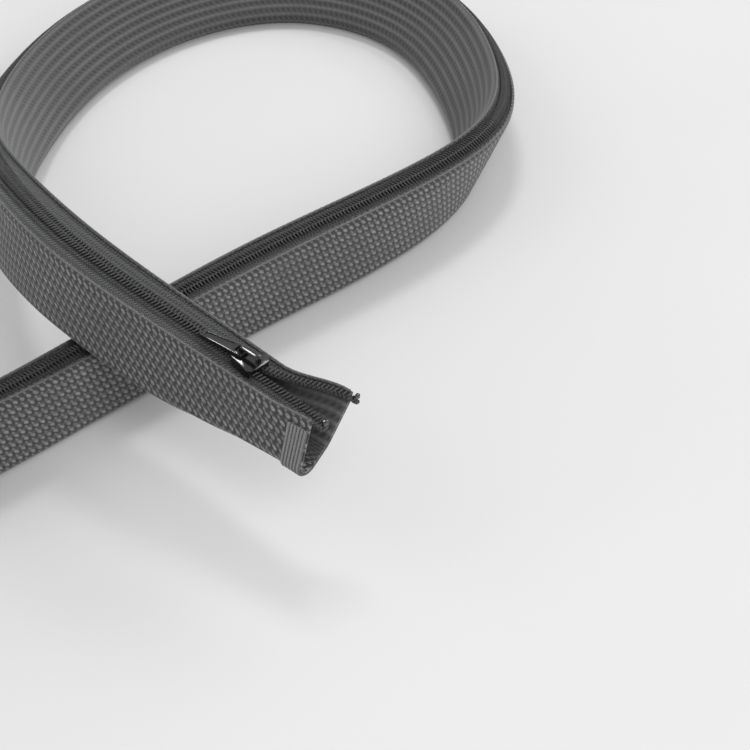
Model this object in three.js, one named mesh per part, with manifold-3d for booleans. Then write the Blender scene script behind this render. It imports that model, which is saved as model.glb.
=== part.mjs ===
// Zippered cable sleeve: a flattened tube of woven fabric that stands on its narrow edge and is laid in
// one loop, so that its front strand rides over its rear strand. A zip runs along the narrow top face.
// Its slider is near the front mouth, where the two halves of the zip part and the tube stands open.
// Millimetres, +Z up. Along the sleeve, s is the distance from the front mouth. Across it, n is positive
// on the loop's outer side and d is the height above the top fold of the wall.
import * as THREE from 'three';
import Module from 'manifold-3d';
import { mergeVertices } from 'three/addons/utils/BufferGeometryUtils.js';

const wasm = await Module();
wasm.setup();

// General clearance between neighbouring pieces
const GAP = 0.3;

// Tube wall
const SLEEVE_DEPTH = 34;
const WALL = 0.9;
const FOLD_RADIUS = 1.6;
const BOTTOM_RADIUS = 4;
const RIDGE_HEIGHT = 0.3;
const RIDGE_PITCH = 3.8;
const LIP_CLEARANCE = 0.45;

// Mouth: what each corner of the section has moved by at its edge
const MOUTH_LENGTH = 90;
const FLARE_LENGTH = 28;
const OUTER_BOTTOM_RISE = 11;
const OUTER_BOTTOM_BULGE = 1;
const OUTER_TOP_PINCH = 2;
const PINCH_LENGTH = 20;
const INNER_BOTTOM_RISE = 16.5;
const INNER_BOTTOM_TUCK = 4.5;
const INNER_TOP_FLARE = 5.5;
const INNER_TOP_LIFT = 3;

// Zip tape and teeth
const TAPE_THICKNESS = 0.5;
const TAPE_SETBACK = 0.35;
const OUTER_TAPE_TAIL = 4;
const INNER_TAPE_TAIL = 4.5;
const REAR_TAPE_TAIL = 3;
const TEETH_WIDTH = 2.7;
const TEETH_HEIGHT = 1.9;
const TEETH_HALF_GAP = 0.25;
const TOOTH_PITCH = 1.6;
const TOOTH_DEPTH = 0.9;
const TEETH_FRONT = -2.5;
const TEETH_REAR_MARGIN = 4;
const CUT_TEETH_LENGTH = 112;
const OUTER_OPENING = 1.5;
const INNER_OPENING = 9.75;

// Stops at the ends of the teeth
const STOP_LENGTH = 2.4;
const STOP_HEIGHT = 2.1;
const STOP_OVERHANG = 0.35;

// Hems
const HEM_WIDTH = 8.5;
const HEM_THICKNESS = 0.5;
const HEM_RIB_HEIGHT = 0.25;
const HEM_RIBS = 5;
const HEM_SETDOWN = 2;

// How far a cutting shape runs past the face that it opens
const CUT_MARGIN = 1;

// Slider
const SLIDER_AT = 35.5;
const SLIDER_LENGTH = 11;
const SLIDER_SPREAD = 1.3;
const SLIDER_SIDE_CLEARANCE = 0.4;
const FLANGE_THICKNESS = 0.75;
const TOP_PLATE_THICKNESS = 1.2;
const LOWER_PLATE_THICKNESS = 1;
const PLATE_REAR_CORNER = 1.2;
const PLATE_NOSE_CORNER = 2.6;
const POST_LENGTH = 2.6;
const POST_CLEARANCE = 0.5;
const BRIDGE_WIDTH = 2.2;
const BRIDGE_LENGTH = 9;
const BRIDGE_THICKNESS = 0.9;
const BRIDGE_OPENING = 2.4;
const BRIDGE_CORNER = 1.2;

// Puller
const PULLER_LENGTH = 19;
const PULLER_BASE_WIDTH = 5.8;
const PULLER_TIP_WIDTH = 3.8;
const PULLER_THICKNESS = 1.2;
const PULLER_RIM = 0.8;
const PULLER_RECESS = 0.35;
const PULLER_SLOT_WIDTH = 3.2;
const PULLER_SLOT_LENGTH = 3.4;
const PULLER_WEB = 1.6;
const PULLER_BAR_LIFT = 0.5;
const PULLER_YAW = THREE.MathUtils.degToRad(6);
const PULLER_TILT = THREE.MathUtils.degToRad(5);

// Lay of the sleeve on a table, chosen by hand: x, y, share of the climb over the rear strand, lean of
// the section in degrees (positive leans the zip outwards) and width over the narrowest section
const CROSSING_GAP = 4.5;
const LAY = [
  [156, -126.5, 0.61, 0, 7.5],
  [93, -126.5, 0.805, 0, 10.5],
  [30, -126.5, 1, 0, 13],
  [-28.5, -106, 0.88, -2, 9],
  [-75, -71, 0.34, 16, 4],
  [-117, -25, 0.02, 36, 0],
  [-148, 33, 0, 45, 0],
  [-155, 101, 0, 44, 0],
  [-127, 160, 0, 45, 0],
  [-62, 175, 0, 49, 0],
  [-3, 141, 0, 43, 0],
  [46, 96, 0, 25, 1],
  [51, 30, 0, 6, 4.5],
  [42, -38, 0, 6, 6],
  [40, -114, 0, 7, 4],
  [38, -209, 0, 3, 2],
];
const END_REST_LENGTH = 60;

// Length of the wall from mouth to mouth, along the lay and straight on where the lay ends
const SLEEVE_LENGTH = 1000;

// Steps of the swept pieces
const TURN_PER_STEP = THREE.MathUtils.degToRad(8);
const LONGEST_STEP = 34;
const ROUTE_SAMPLES = 60;

// Heights across the zip, from the wall's top fold down and up
const TAPE_TOP = -(WALL + GAP);
const TAPE_BOTTOM = TAPE_TOP - TAPE_THICKNESS;
const TEETH_BOTTOM = TAPE_TOP + GAP;
const TEETH_TOP = TEETH_BOTTOM + TEETH_HEIGHT;
const TEETH_EDGE = TEETH_HALF_GAP + TEETH_WIDTH;
const NARROWEST = 2 * (TEETH_EDGE + LIP_CLEARANCE + FOLD_RADIUS);
const CLIMB = SLEEVE_DEPTH + TEETH_TOP + CROSSING_GAP;
const HEM_STAND = RIDGE_HEIGHT + GAP + HEM_THICKNESS + HEM_RIB_HEIGHT;

const PLATE_LOW = TEETH_TOP + GAP;
const PLATE_HIGH = PLATE_LOW + TOP_PLATE_THICKNESS;
const LOWER_PLATE_HIGH = TAPE_BOTTOM - GAP;

const materials = {
  braid: new THREE.MeshStandardMaterial({ color: 0x47484b, roughness: 0.75, metalness: 0 }),
  tape: new THREE.MeshStandardMaterial({ color: 0x1c1d1f, roughness: 0.85, metalness: 0 }),
  teeth: new THREE.MeshStandardMaterial({ color: 0x222325, roughness: 0.5, metalness: 0 }),
  hem: new THREE.MeshStandardMaterial({ color: 0x55565a, roughness: 0.8, metalness: 0 }),
  slider: new THREE.MeshStandardMaterial({ color: 0x1a1a1c, roughness: 0.3, metalness: 0.6 }),
};

// Uniform cubic B-spline through the lay's rows, straight beyond both ends
function layAt(u) {
  const last = LAY.length - 1;
  const row = (i) => {
    if (i < 0) return LAY[0].map((v, k) => 2 * v - LAY[1][k]);
    if (i > last) return LAY[last].map((v, k) => 2 * v - LAY[last - 1][k]);
    return LAY[i];
  };
  const i = Math.min(Math.max(Math.floor(u), 0), last - 1);
  const t = u - i;
  const weights = [(1 - t) ** 3, 3 * t ** 3 - 6 * t ** 2 + 4, -3 * t ** 3 + 3 * t ** 2 + 3 * t + 1, t ** 3];
  return LAY[0].map((_, k) => weights.reduce((sum, w, j) => sum + (w * row(i - 1 + j)[k]) / 6, 0));
}

// Centre of the section, which rests on its lower corner where it leans
function centreAt(u) {
  const [x, y, climb, leanDegrees, extra] = layAt(u);
  const lean = THREE.MathUtils.degToRad(leanDegrees);
  const upright = (SLEEVE_DEPTH / 2 - BOTTOM_RADIUS) * Math.cos(lean);
  const sideways = ((NARROWEST + extra) / 2 - BOTTOM_RADIUS) * Math.sin(Math.abs(lean));
  return new THREE.Vector3(x, y, climb * CLIMB + upright + sideways + BOTTOM_RADIUS);
}

// Distance along the route at each sample
const route = [];
for (let k = 0; k <= (LAY.length - 1) * ROUTE_SAMPLES; k += 1) {
  const u = k / ROUTE_SAMPLES;
  const point = centreAt(u);
  const before = route[route.length - 1];
  route.push({ u, point, s: before ? before.s + point.distanceTo(before.point) : 0 });
}

// Parameter of the lay at s, which goes on in step beyond the last sample
function routeParameter(s) {
  const found = route.findIndex((r) => r.s >= s);
  const after = found < 0 ? route.length - 1 : Math.max(found, 1);
  const a = route[after - 1];
  const b = route[after];
  return a.u + ((b.u - a.u) * (s - a.s)) / (b.s - a.s);
}

// 0 to 1 with level ends
function ease(t) {
  const c = Math.min(Math.max(t, 0), 1);
  return c * c * (3 - 2 * c);
}

// How far something at the mouth has come about at s, from 0 at its length behind it to 1 at its edge
const shareOf = (s, length) => 1 - ease(s / length);

// Section frame on the curve at s: along the sleeve, across it and up it, with the origin on the top
// face, and what the section's corners are moved by there
function frameOnCurve(s) {
  const u = routeParameter(s);
  const du = 0.01;
  const along = centreAt(u + du).sub(centreAt(u - du)).normalize();
  const upright = new THREE.Vector3(0, 0, 1).addScaledVector(along, -along.z).normalize();
  const outward = new THREE.Vector3().crossVectors(upright, along);
  const [, , , leanDegrees, extra] = layAt(u);
  const lean = THREE.MathUtils.degToRad(leanDegrees);
  const up = upright.clone().multiplyScalar(Math.cos(lean)).addScaledVector(outward, Math.sin(lean));
  const across = outward.multiplyScalar(Math.cos(lean)).addScaledVector(upright, -Math.sin(lean));
  const origin = centreAt(u).addScaledVector(up, SLEEVE_DEPTH / 2);
  const endShare = ease((s - (SLEEVE_LENGTH - END_REST_LENGTH)) / (END_REST_LENGTH - HEM_WIDTH));
  origin.z += HEM_STAND * endShare;
  const halfWidth = (NARROWEST + extra) / 2;
  const mouth = shareOf(s, MOUTH_LENGTH);
  const flare = shareOf(s, FLARE_LENGTH);
  const pinch = shareOf(s, PINCH_LENGTH);
  return { s, origin, along, across, up, sizes: { halfWidth, mouth, flare, pinch } };
}

// Frames where the sleeve has turned by a step or gone far enough, at its ends and round its mouth
function gridFrames() {
  const fine = 2;
  const near = 2 * fine;
  const mouthSteps = [1, 2, 3, 4].map((k) => (k * MOUTH_LENGTH) / 4);
  const flareSteps = [1, 2].map((k) => HEM_WIDTH + (k * (FLARE_LENGTH - HEM_WIDTH)) / 2);
  const wanted = [0, HEM_WIDTH / 2, HEM_WIDTH, ...flareSteps, ...mouthSteps.slice(1), SLEEVE_LENGTH];
  const steps = [...wanted];
  let turned = 0;
  let travelled = 0;
  for (let s = fine; s < SLEEVE_LENGTH; s += fine) {
    turned += frameOnCurve(s).along.angleTo(frameOnCurve(s - fine).along);
    travelled += fine;
    if (turned > TURN_PER_STEP || travelled > LONGEST_STEP) {
      if (wanted.every((w) => Math.abs(w - s) > near)) steps.push(s);
      turned = 0;
      travelled = 0;
    }
  }
  return steps.sort((a, b) => a - b).map(frameOnCurve);
}

const grid = gridFrames();

// Frame at s on the straight lines between the grid's frames, so that all swept pieces keep the same
// clearances between them, and straight on beyond the ends
function frameAt(s) {
  const inside = Math.min(Math.max(s, 0), SLEEVE_LENGTH);
  const after = Math.max(grid.findIndex((frame) => frame.s >= inside), 1);
  const a = grid[after - 1];
  const b = grid[after];
  const t = (inside - a.s) / (b.s - a.s);
  return {
    origin: a.origin.clone().lerp(b.origin, t).addScaledVector(t < 0.5 ? a.along : b.along, s - inside),
    across: a.across.clone().lerp(b.across, t),
    up: a.up.clone().lerp(b.up, t),
    sizes: Object.fromEntries(Object.keys(a.sizes).map((key) => [
      key, THREE.MathUtils.lerp(a.sizes[key], b.sizes[key], t),
    ])),
  };
}

// The grid's steps between two ends, with the ends and the extra ones
function stepsBetween(from, to, extra = []) {
  const apart = 0.5;
  const own = [from, ...extra.filter((s) => s > from && s < to), to];
  const shared = grid.map((frame) => frame.s).filter((s) => s > from && s < to);
  const kept = shared.filter((s) => own.every((o) => Math.abs(o - s) > apart));
  return [...own, ...kept].sort((a, b) => a - b);
}

// Closed body swept through the outline given at each step, all with the same number of points and
// running anticlockwise seen against the direction of travel
function sweep(steps, outlineAt) {
  const positions = [];
  const index = [];
  const outlines = steps.map((s) => outlineAt(s));
  const count = outlines[0].length;
  steps.forEach((s, i) => {
    const { origin, across, up } = frameAt(s);
    outlines[i].forEach(([n, d]) => {
      const point = origin.clone().addScaledVector(across, n).addScaledVector(up, d);
      positions.push(point.x, point.y, point.z);
    });
  });
  for (let i = 0; i + 1 < steps.length; i += 1) {
    for (let j = 0; j < count; j += 1) {
      const a = i * count + j;
      const b = i * count + ((j + 1) % count);
      index.push(a, b, b + count, a, b + count, a + count);
    }
  }
  const cap = (outline, first, facingForward) => {
    const contour = outline.map(([n, d]) => new THREE.Vector2(n, d));
    const triangles = THREE.ShapeUtils.triangulateShape(contour, []);
    const areas = triangles.map((corners) => THREE.ShapeUtils.area(corners.map((i) => contour[i])));
    const forward = areas.reduce((sum, area) => sum + area) > 0;
    triangles.forEach(([a, b, c]) => {
      if (forward === facingForward) index.push(first + a, first + b, first + c);
      else index.push(first + a, first + c, first + b);
    });
  };
  cap(outlines[0], 0, false);
  cap(outlines[steps.length - 1], (steps.length - 1) * count, true);
  const geometry = new THREE.BufferGeometry();
  geometry.setAttribute('position', new THREE.Float32BufferAttribute(positions, 3));
  geometry.setIndex(index);
  geometry.computeVertexNormals();
  return geometry;
}

// Circles that the wall's section bends round at s, as centre and radius: the inner fold, the inner and
// outer bottom corners and the outer fold
function wallCircles(s) {
  const { halfWidth, mouth, flare, pinch } = frameAt(s).sizes;
  const outer = halfWidth - OUTER_TOP_PINCH * pinch;
  const outerLow = halfWidth + OUTER_BOTTOM_BULGE * mouth;
  const inner = halfWidth + INNER_TOP_FLARE * flare;
  const innerLow = halfWidth - INNER_BOTTOM_TUCK * mouth;
  const bottom = BOTTOM_RADIUS - SLEEVE_DEPTH;
  return [
    { n: FOLD_RADIUS - inner, d: INNER_TOP_LIFT * flare - FOLD_RADIUS, radius: FOLD_RADIUS },
    { n: BOTTOM_RADIUS - innerLow, d: bottom + INNER_BOTTOM_RISE * mouth, radius: BOTTOM_RADIUS },
    { n: outerLow - BOTTOM_RADIUS, d: bottom + OUTER_BOTTOM_RISE * mouth, radius: BOTTOM_RADIUS },
    { n: outer - FOLD_RADIUS, d: -FOLD_RADIUS, radius: FOLD_RADIUS },
  ];
}

function pointAround(circle, radius, degrees) {
  const angle = THREE.MathUtils.degToRad(degrees);
  return [circle.n + radius * Math.cos(angle), circle.d + radius * Math.sin(angle)];
}

// Points of a circular arc in the section, from one angle to the other
function arc(circle, radius, from, to, parts) {
  return Array.from({ length: parts + 1 }, (_, i) =>
    pointAround(circle, radius, from + ((to - from) * i) / parts));
}

// Point at a distance from one point on the way to another
function pointToward(from, to, distance) {
  const length = Math.hypot(to[0] - from[0], to[1] - from[1]);
  return from.map((v, k) => v + ((to[k] - v) * distance) / length);
}

// Angle in degrees of the outward normal of the line that runs from one circle to the next
function normalBetween(a, b) {
  const heading = Math.atan2(b.d - a.d, b.n - a.n);
  const turn = Math.acos((a.radius - b.radius) / Math.hypot(b.n - a.n, b.d - a.d));
  return THREE.MathUtils.radToDeg(heading - turn);
}

const wholeTurn = 360;
const raised = (angle, from) => (angle < from ? angle + wholeTurn : angle);

// Angles of the inner side's, the bottom's and the outer side's normals, rising from the first
function wallNormals(circles) {
  const first = raised(normalBetween(circles[0], circles[1]), 0);
  const second = raised(normalBetween(circles[1], circles[2]), first);
  const third = raised(normalBetween(circles[2], circles[3]), second);
  return [first, second, third];
}

// Line that lies inset behind the wall's face and starts and ends setDown below the folds: down the
// inner side, round the bottom, up the outer side
function bodyLine(s, inset, parts, setDown = 0) {
  const circles = wallCircles(s);
  const [first, second, third] = wallNormals(circles);
  const middle = [
    ...arc(circles[1], BOTTOM_RADIUS - inset, first, second, parts),
    ...arc(circles[2], BOTTOM_RADIUS - inset, second, third, parts),
  ];
  const start = pointAround(circles[0], FOLD_RADIUS - inset, first);
  const end = pointAround(circles[3], FOLD_RADIUS - inset, third);
  return [
    pointToward(start, middle[0], setDown),
    ...middle,
    pointToward(end, middle[middle.length - 1], setDown),
  ];
}

// The same line as count equal parts, with each second point lifted off it by ridge
function ridgedLine(line, count, ridge) {
  const path = new THREE.CurvePath();
  for (let i = 0; i + 1 < line.length; i += 1) {
    path.add(new THREE.LineCurve(new THREE.Vector2(...line[i]), new THREE.Vector2(...line[i + 1])));
  }
  return Array.from({ length: count + 1 }, (_, i) => {
    const t = Math.min(Math.max(i / count, 1e-6), 1 - 1e-6);
    const point = path.getPointAt(t);
    const heading = path.getTangentAt(t);
    const lift = i % 2 === 1 ? ridge : 0;
    return [point.x + heading.y * lift, point.y - heading.x * lift];
  });
}

const bodyLength = 2 * (SLEEVE_DEPTH - FOLD_RADIUS) + NARROWEST;
const RIDGES = Math.round(bodyLength / RIDGE_PITCH);

// The tube's wall is one skin that ends in a turned lip on each side of the zip
function wallOutline(s) {
  const circles = wallCircles(s);
  const [first, , third] = wallNormals(circles);
  const back = FOLD_RADIUS - WALL;
  const top = 90;
  return [
    ...arc(circles[0], FOLD_RADIUS, top, (top + first) / 2, 1),
    ...ridgedLine(bodyLine(s, 0, 4), 2 * RIDGES, RIDGE_HEIGHT),
    ...arc(circles[3], FOLD_RADIUS, (third - wholeTurn + top) / 2, top, 1),
    ...arc(circles[3], back, top, (third - wholeTurn + top) / 2, 1),
    ...bodyLine(s, WALL, 2).reverse(),
    ...arc(circles[0], back, (top + first) / 2, top, 1),
  ];
}

function braidedSleeve() {
  return sweep(stepsBetween(0, SLEEVE_LENGTH), wallOutline);
}

// How far one half of the zip has moved aside at s, given how far it is at the mouth
const sliderFront = SLIDER_AT - SLIDER_LENGTH / 2;
const sliderRear = SLIDER_AT + SLIDER_LENGTH / 2;

function openingAt(s, atMouth) {
  if (s >= sliderRear) return 0;
  if (s >= sliderFront) return (SLIDER_SPREAD * (sliderRear - s)) / SLIDER_LENGTH;
  return SLIDER_SPREAD + ((atMouth - SLIDER_SPREAD) * (sliderFront - s)) / sliderFront;
}

const rectangle = (n0, n1, d0, d1) => [[n0, d0], [n1, d0], [n1, d1], [n0, d1]];

// Rectangle on the outer side, or its mirror image on the inner side, where it rises with the fold
function sidedRectangle(s, side, near, far, low, high) {
  if (side > 0) return rectangle(near, far, low, high);
  const lift = INNER_TOP_LIFT * frameAt(s).sizes.flare;
  return rectangle(-far, -near, low + lift, high + lift);
}

function zipTape(side, opening, tail) {
  const steps = stepsBetween(-tail, SLEEVE_LENGTH + REAR_TAPE_TAIL, [0, sliderFront, sliderRear]);
  return sweep(steps, (s) => {
    const circles = wallCircles(s);
    const far = (side > 0 ? circles[3].n : -circles[0].n) + (FOLD_RADIUS - WALL) / 2 - GAP / 2;
    return sidedRectangle(s, side, TAPE_SETBACK + openingAt(s, opening), far, TAPE_BOTTOM, TAPE_TOP);
  });
}

// One half of the zip: a row of teeth near the mouth, and a plain rail of the same size behind it
function zipTeeth(side, opening) {
  const rail = TEETH_FRONT + Math.round(CUT_TEETH_LENGTH / TOOTH_PITCH) * TOOTH_PITCH;
  const steps = [];
  for (let k = 0; TEETH_FRONT + (k * TOOTH_PITCH) / 2 < rail - TOOTH_PITCH / 4; k += 1) {
    steps.push(TEETH_FRONT + (k * TOOTH_PITCH) / 2);
  }
  const toothSteps = new Map(steps.map((s, k) => [s, k % 2 === 0 ? 1 : -1]));
  const all = [...steps, ...stepsBetween(rail, SLEEVE_LENGTH - TEETH_REAR_MARGIN)];
  return sweep(all, (s) => {
    const offset = openingAt(s, opening);
    const wave = ((toothSteps.get(s) ?? 0) * side * TOOTH_DEPTH) / 2;
    const near = TEETH_HALF_GAP + offset + wave;
    return sidedRectangle(s, side, near, TEETH_EDGE + offset, TEETH_BOTTOM, TEETH_TOP);
  });
}

// Clip in front of each half of the teeth, on the tape
function frontStop(side, opening) {
  const end = TEETH_FRONT - GAP;
  return sweep([end - STOP_LENGTH / 2, end], (s) => {
    const offset = openingAt(s, opening);
    const far = TEETH_EDGE + offset - STOP_OVERHANG;
    return sidedRectangle(s, side, TEETH_HALF_GAP + offset, far, TEETH_BOTTOM, TEETH_BOTTOM + STOP_HEIGHT);
  });
}

// Clip across both halves behind the last tooth
function rearStop() {
  const start = SLEEVE_LENGTH - TEETH_REAR_MARGIN + GAP;
  const half = TEETH_EDGE - STOP_OVERHANG;
  return sweep([start, start + STOP_LENGTH], () =>
    rectangle(-half, half, TEETH_BOTTOM, TEETH_BOTTOM + STOP_HEIGHT));
}

// Band of stitched ribs round the wall's end
function hem(start) {
  const ribPitch = HEM_WIDTH / HEM_RIBS;
  const steps = Array.from({ length: 2 * HEM_RIBS + 1 }, (_, i) => start + (i * ribPitch) / 2);
  const low = -(RIDGE_HEIGHT + GAP);
  return sweep(steps, (s) => {
    const rib = Math.round((s - start) / (ribPitch / 2)) % 2 === 1 ? HEM_RIB_HEIGHT : 0;
    const face = bodyLine(s, low - HEM_THICKNESS - rib, 3, HEM_SETDOWN);
    return [...face, ...bodyLine(s, low, 3, HEM_SETDOWN).reverse()];
  });
}

// Solid for the boolean steps, and back
function solid(geometry) {
  const bare = geometry.index ? geometry.toNonIndexed() : geometry.clone();
  bare.deleteAttribute('normal');
  bare.deleteAttribute('uv');
  const merged = mergeVertices(bare, 1e-5);
  return new wasm.Manifold(new wasm.Mesh({
    numProp: 3,
    vertProperties: new Float32Array(merged.attributes.position.array),
    triVerts: new Uint32Array(merged.index.array),
  }));
}

function geometryOf(manifold) {
  const mesh = manifold.getMesh();
  const geometry = new THREE.BufferGeometry();
  geometry.setAttribute('position', new THREE.BufferAttribute(new Float32Array(mesh.vertProperties), 3));
  geometry.setIndex(new THREE.BufferAttribute(new Uint32Array(mesh.triVerts), 1));
  geometry.computeVertexNormals();
  return geometry;
}

// Flat piece with the outline given by points x, y between two heights
function slab(shape, low, high, curveSegments = 3) {
  const geometry = new THREE.ExtrudeGeometry(shape, {
    depth: high - low, bevelEnabled: false, curveSegments,
  });
  return solid(geometry.translate(0, 0, low));
}

// Outline symmetric about the x axis, from half width a at x0 to b at x1, with rounded corners
function taperedShape(x0, a, x1, b, cornerA, cornerB) {
  const shape = new THREE.Shape();
  shape.moveTo(x0, -a + cornerA);
  shape.quadraticCurveTo(x0, -a, x0 + cornerA, -a);
  shape.lineTo(x1 - cornerB, -b);
  shape.quadraticCurveTo(x1, -b, x1, -b + cornerB);
  shape.lineTo(x1, b - cornerB);
  shape.quadraticCurveTo(x1, b, x1 - cornerB, b);
  shape.lineTo(x0 + cornerA, a);
  shape.quadraticCurveTo(x0, a, x0, a - cornerA);
  shape.closePath();
  return shape;
}

function box(x0, x1, y0, y1, z0, z1) {
  const geometry = new THREE.BoxGeometry(x1 - x0, y1 - y0, z1 - z0);
  return solid(geometry.translate((x0 + x1) / 2, (y0 + y1) / 2, (z0 + z1) / 2));
}

const bridgeRear = BRIDGE_LENGTH / 2;
const bridgeTop = PLATE_HIGH + BRIDGE_OPENING + BRIDGE_THICKNESS;
const bridgeRoot = TOP_PLATE_THICKNESS / 3;

// Lengthwise loop on the top plate, which holds the puller's bar
function bridge() {
  const shape = new THREE.Shape();
  shape.moveTo(-bridgeRear, PLATE_HIGH - bridgeRoot);
  shape.lineTo(bridgeRear, PLATE_HIGH - bridgeRoot);
  shape.lineTo(bridgeRear, bridgeTop - BRIDGE_CORNER);
  shape.quadraticCurveTo(bridgeRear, bridgeTop, bridgeRear - BRIDGE_CORNER, bridgeTop);
  shape.lineTo(-bridgeRear + BRIDGE_CORNER, bridgeTop);
  shape.quadraticCurveTo(-bridgeRear, bridgeTop, -bridgeRear, bridgeTop - BRIDGE_CORNER);
  shape.closePath();
  const geometry = new THREE.ExtrudeGeometry(shape, {
    depth: BRIDGE_WIDTH, bevelEnabled: false, curveSegments: 4,
  });
  const loop = solid(geometry.translate(0, 0, -BRIDGE_WIDTH / 2).rotateX(Math.PI / 2));
  const inside = bridgeRear - BRIDGE_THICKNESS;
  const hole = box(-inside, inside, -BRIDGE_WIDTH, BRIDGE_WIDTH, PLATE_HIGH, PLATE_HIGH + BRIDGE_OPENING);
  return loop.subtract(hole);
}

function sliderBody() {
  const half = SLIDER_LENGTH / 2;
  const channelRear = TEETH_EDGE + SLIDER_SIDE_CLEARANCE;
  const channelFront = channelRear + SLIDER_SPREAD;
  const frontHalf = channelFront + FLANGE_THICKNESS;
  const rearHalf = channelRear + FLANGE_THICKNESS;
  const outline = taperedShape(-half, frontHalf, half, rearHalf, PLATE_NOSE_CORNER, PLATE_REAR_CORNER);
  const channel = new THREE.Shape();
  const overrun = (CUT_MARGIN * SLIDER_SPREAD) / SLIDER_LENGTH;
  channel.moveTo(-half - CUT_MARGIN, -channelFront - overrun);
  channel.lineTo(half + CUT_MARGIN, -channelRear + overrun);
  channel.lineTo(half + CUT_MARGIN, channelRear - overrun);
  channel.lineTo(-half - CUT_MARGIN, channelFront + overrun);
  channel.closePath();
  const upper = slab(outline, TEETH_BOTTOM, PLATE_HIGH);
  const hollow = slab(channel, TEETH_BOTTOM - CUT_MARGIN, PLATE_LOW);
  const lower = slab(outline, LOWER_PLATE_HIGH - LOWER_PLATE_THICKNESS, LOWER_PLATE_HIGH);
  const postFront = SLIDER_SPREAD + TEETH_HALF_GAP - TOOTH_DEPTH / 2 - POST_CLEARANCE;
  const postRear = postFront - (SLIDER_SPREAD * POST_LENGTH) / SLIDER_LENGTH;
  const post = new THREE.Shape();
  post.moveTo(-half, -postFront);
  post.lineTo(-half + POST_LENGTH, -postRear);
  post.lineTo(-half + POST_LENGTH, postRear);
  post.lineTo(-half, postFront);
  post.closePath();
  const sink = LOWER_PLATE_THICKNESS / 3;
  const wedge = slab(post, LOWER_PLATE_HIGH - sink, PLATE_LOW + sink);
  return geometryOf(upper.subtract(hollow).add(lower).add(wedge).add(bridge()));
}

const hingeX = bridgeRear - BRIDGE_THICKNESS - GAP - PULLER_THICKNESS / 2;
const hingeZ = PLATE_HIGH + PULLER_THICKNESS / 2 + PULLER_BAR_LIFT;

// Tapered tab with a recessed face, held by a round bar between the two arms of its fork
function puller() {
  const baseHalf = PULLER_BASE_WIDTH / 2;
  const tipHalf = PULLER_TIP_WIDTH / 2;
  const thick = PULLER_THICKNESS / 2;
  const widthAt = (x) => baseHalf + ((tipHalf - baseHalf) * x) / PULLER_LENGTH;
  const corner = tipHalf / 2;
  const tab = slab(taperedShape(0, baseHalf, PULLER_LENGTH, tipHalf, corner, corner), -thick, thick);
  const slotHalf = PULLER_SLOT_WIDTH / 2;
  const slot = box(-thick, PULLER_SLOT_LENGTH, -slotHalf, slotHalf, -PULLER_THICKNESS, PULLER_THICKNESS);
  const recessStart = PULLER_SLOT_LENGTH + PULLER_WEB;
  const recessEnd = PULLER_LENGTH - 2 * PULLER_RIM;
  const recessShape = taperedShape(recessStart, widthAt(recessStart) - PULLER_RIM, recessEnd,
    widthAt(recessEnd) - PULLER_RIM, PULLER_RIM, PULLER_RIM);
  const recess = slab(recessShape, thick - PULLER_RECESS, PULLER_THICKNESS);
  const bar = solid(new THREE.CylinderGeometry(thick, thick, PULLER_BASE_WIDTH - 2 * GAP, 10));
  return geometryOf(tab.subtract(slot).subtract(recess).add(bar));
}

function named(name, geometry, material) {
  const mesh = new THREE.Mesh(geometry, material);
  mesh.name = name;
  return mesh;
}

// Group whose own axes are along, across and up the sleeve at s
function groupAt(s) {
  const { origin, along, across, up } = frameOnCurve(s);
  const group = new THREE.Group();
  group.quaternion.setFromRotationMatrix(new THREE.Matrix4().makeBasis(along, across, up));
  group.position.copy(origin);
  return group;
}

const sleeve = new THREE.Group();
sleeve.add(
  named('braided_sleeve', braidedSleeve(), materials.braid),
  named('hem_front', hem(0), materials.hem),
  named('hem_rear', hem(SLEEVE_LENGTH - HEM_WIDTH), materials.hem),
  named('zip_tape_outer', zipTape(1, OUTER_OPENING, OUTER_TAPE_TAIL), materials.tape),
  named('zip_tape_inner', zipTape(-1, INNER_OPENING, INNER_TAPE_TAIL), materials.tape),
  named('zip_teeth_outer', zipTeeth(1, OUTER_OPENING), materials.teeth),
  named('zip_teeth_inner', zipTeeth(-1, INNER_OPENING), materials.teeth),
  named('stop_outer', frontStop(1, OUTER_OPENING), materials.slider),
  named('stop_inner', frontStop(-1, INNER_OPENING), materials.slider),
  named('stop_rear', rearStop(), materials.slider),
);

const sliderGroup = groupAt(SLIDER_AT);
const pullerMesh = named('puller', puller(), materials.slider);
const pullerGroup = new THREE.Group();
pullerGroup.position.set(hingeX, 0, hingeZ);
pullerGroup.rotation.set(0, PULLER_TILT, PULLER_YAW, 'ZYX');
pullerGroup.add(pullerMesh);
sliderGroup.add(named('slider_body', sliderBody(), materials.slider), pullerGroup);
sleeve.add(sliderGroup);

// The origin is under the middle of the sleeve, on the table
const bounds = new THREE.Box3().setFromObject(sleeve, true);
const middle = bounds.getCenter(new THREE.Vector3());
sleeve.position.set(-middle.x, -middle.y, -bounds.min.z);

const part = new THREE.Group();
part.add(sleeve);

export default part;
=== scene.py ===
import math

import bmesh
import bpy
import numpy as np
from mathutils import Matrix, Vector


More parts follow.
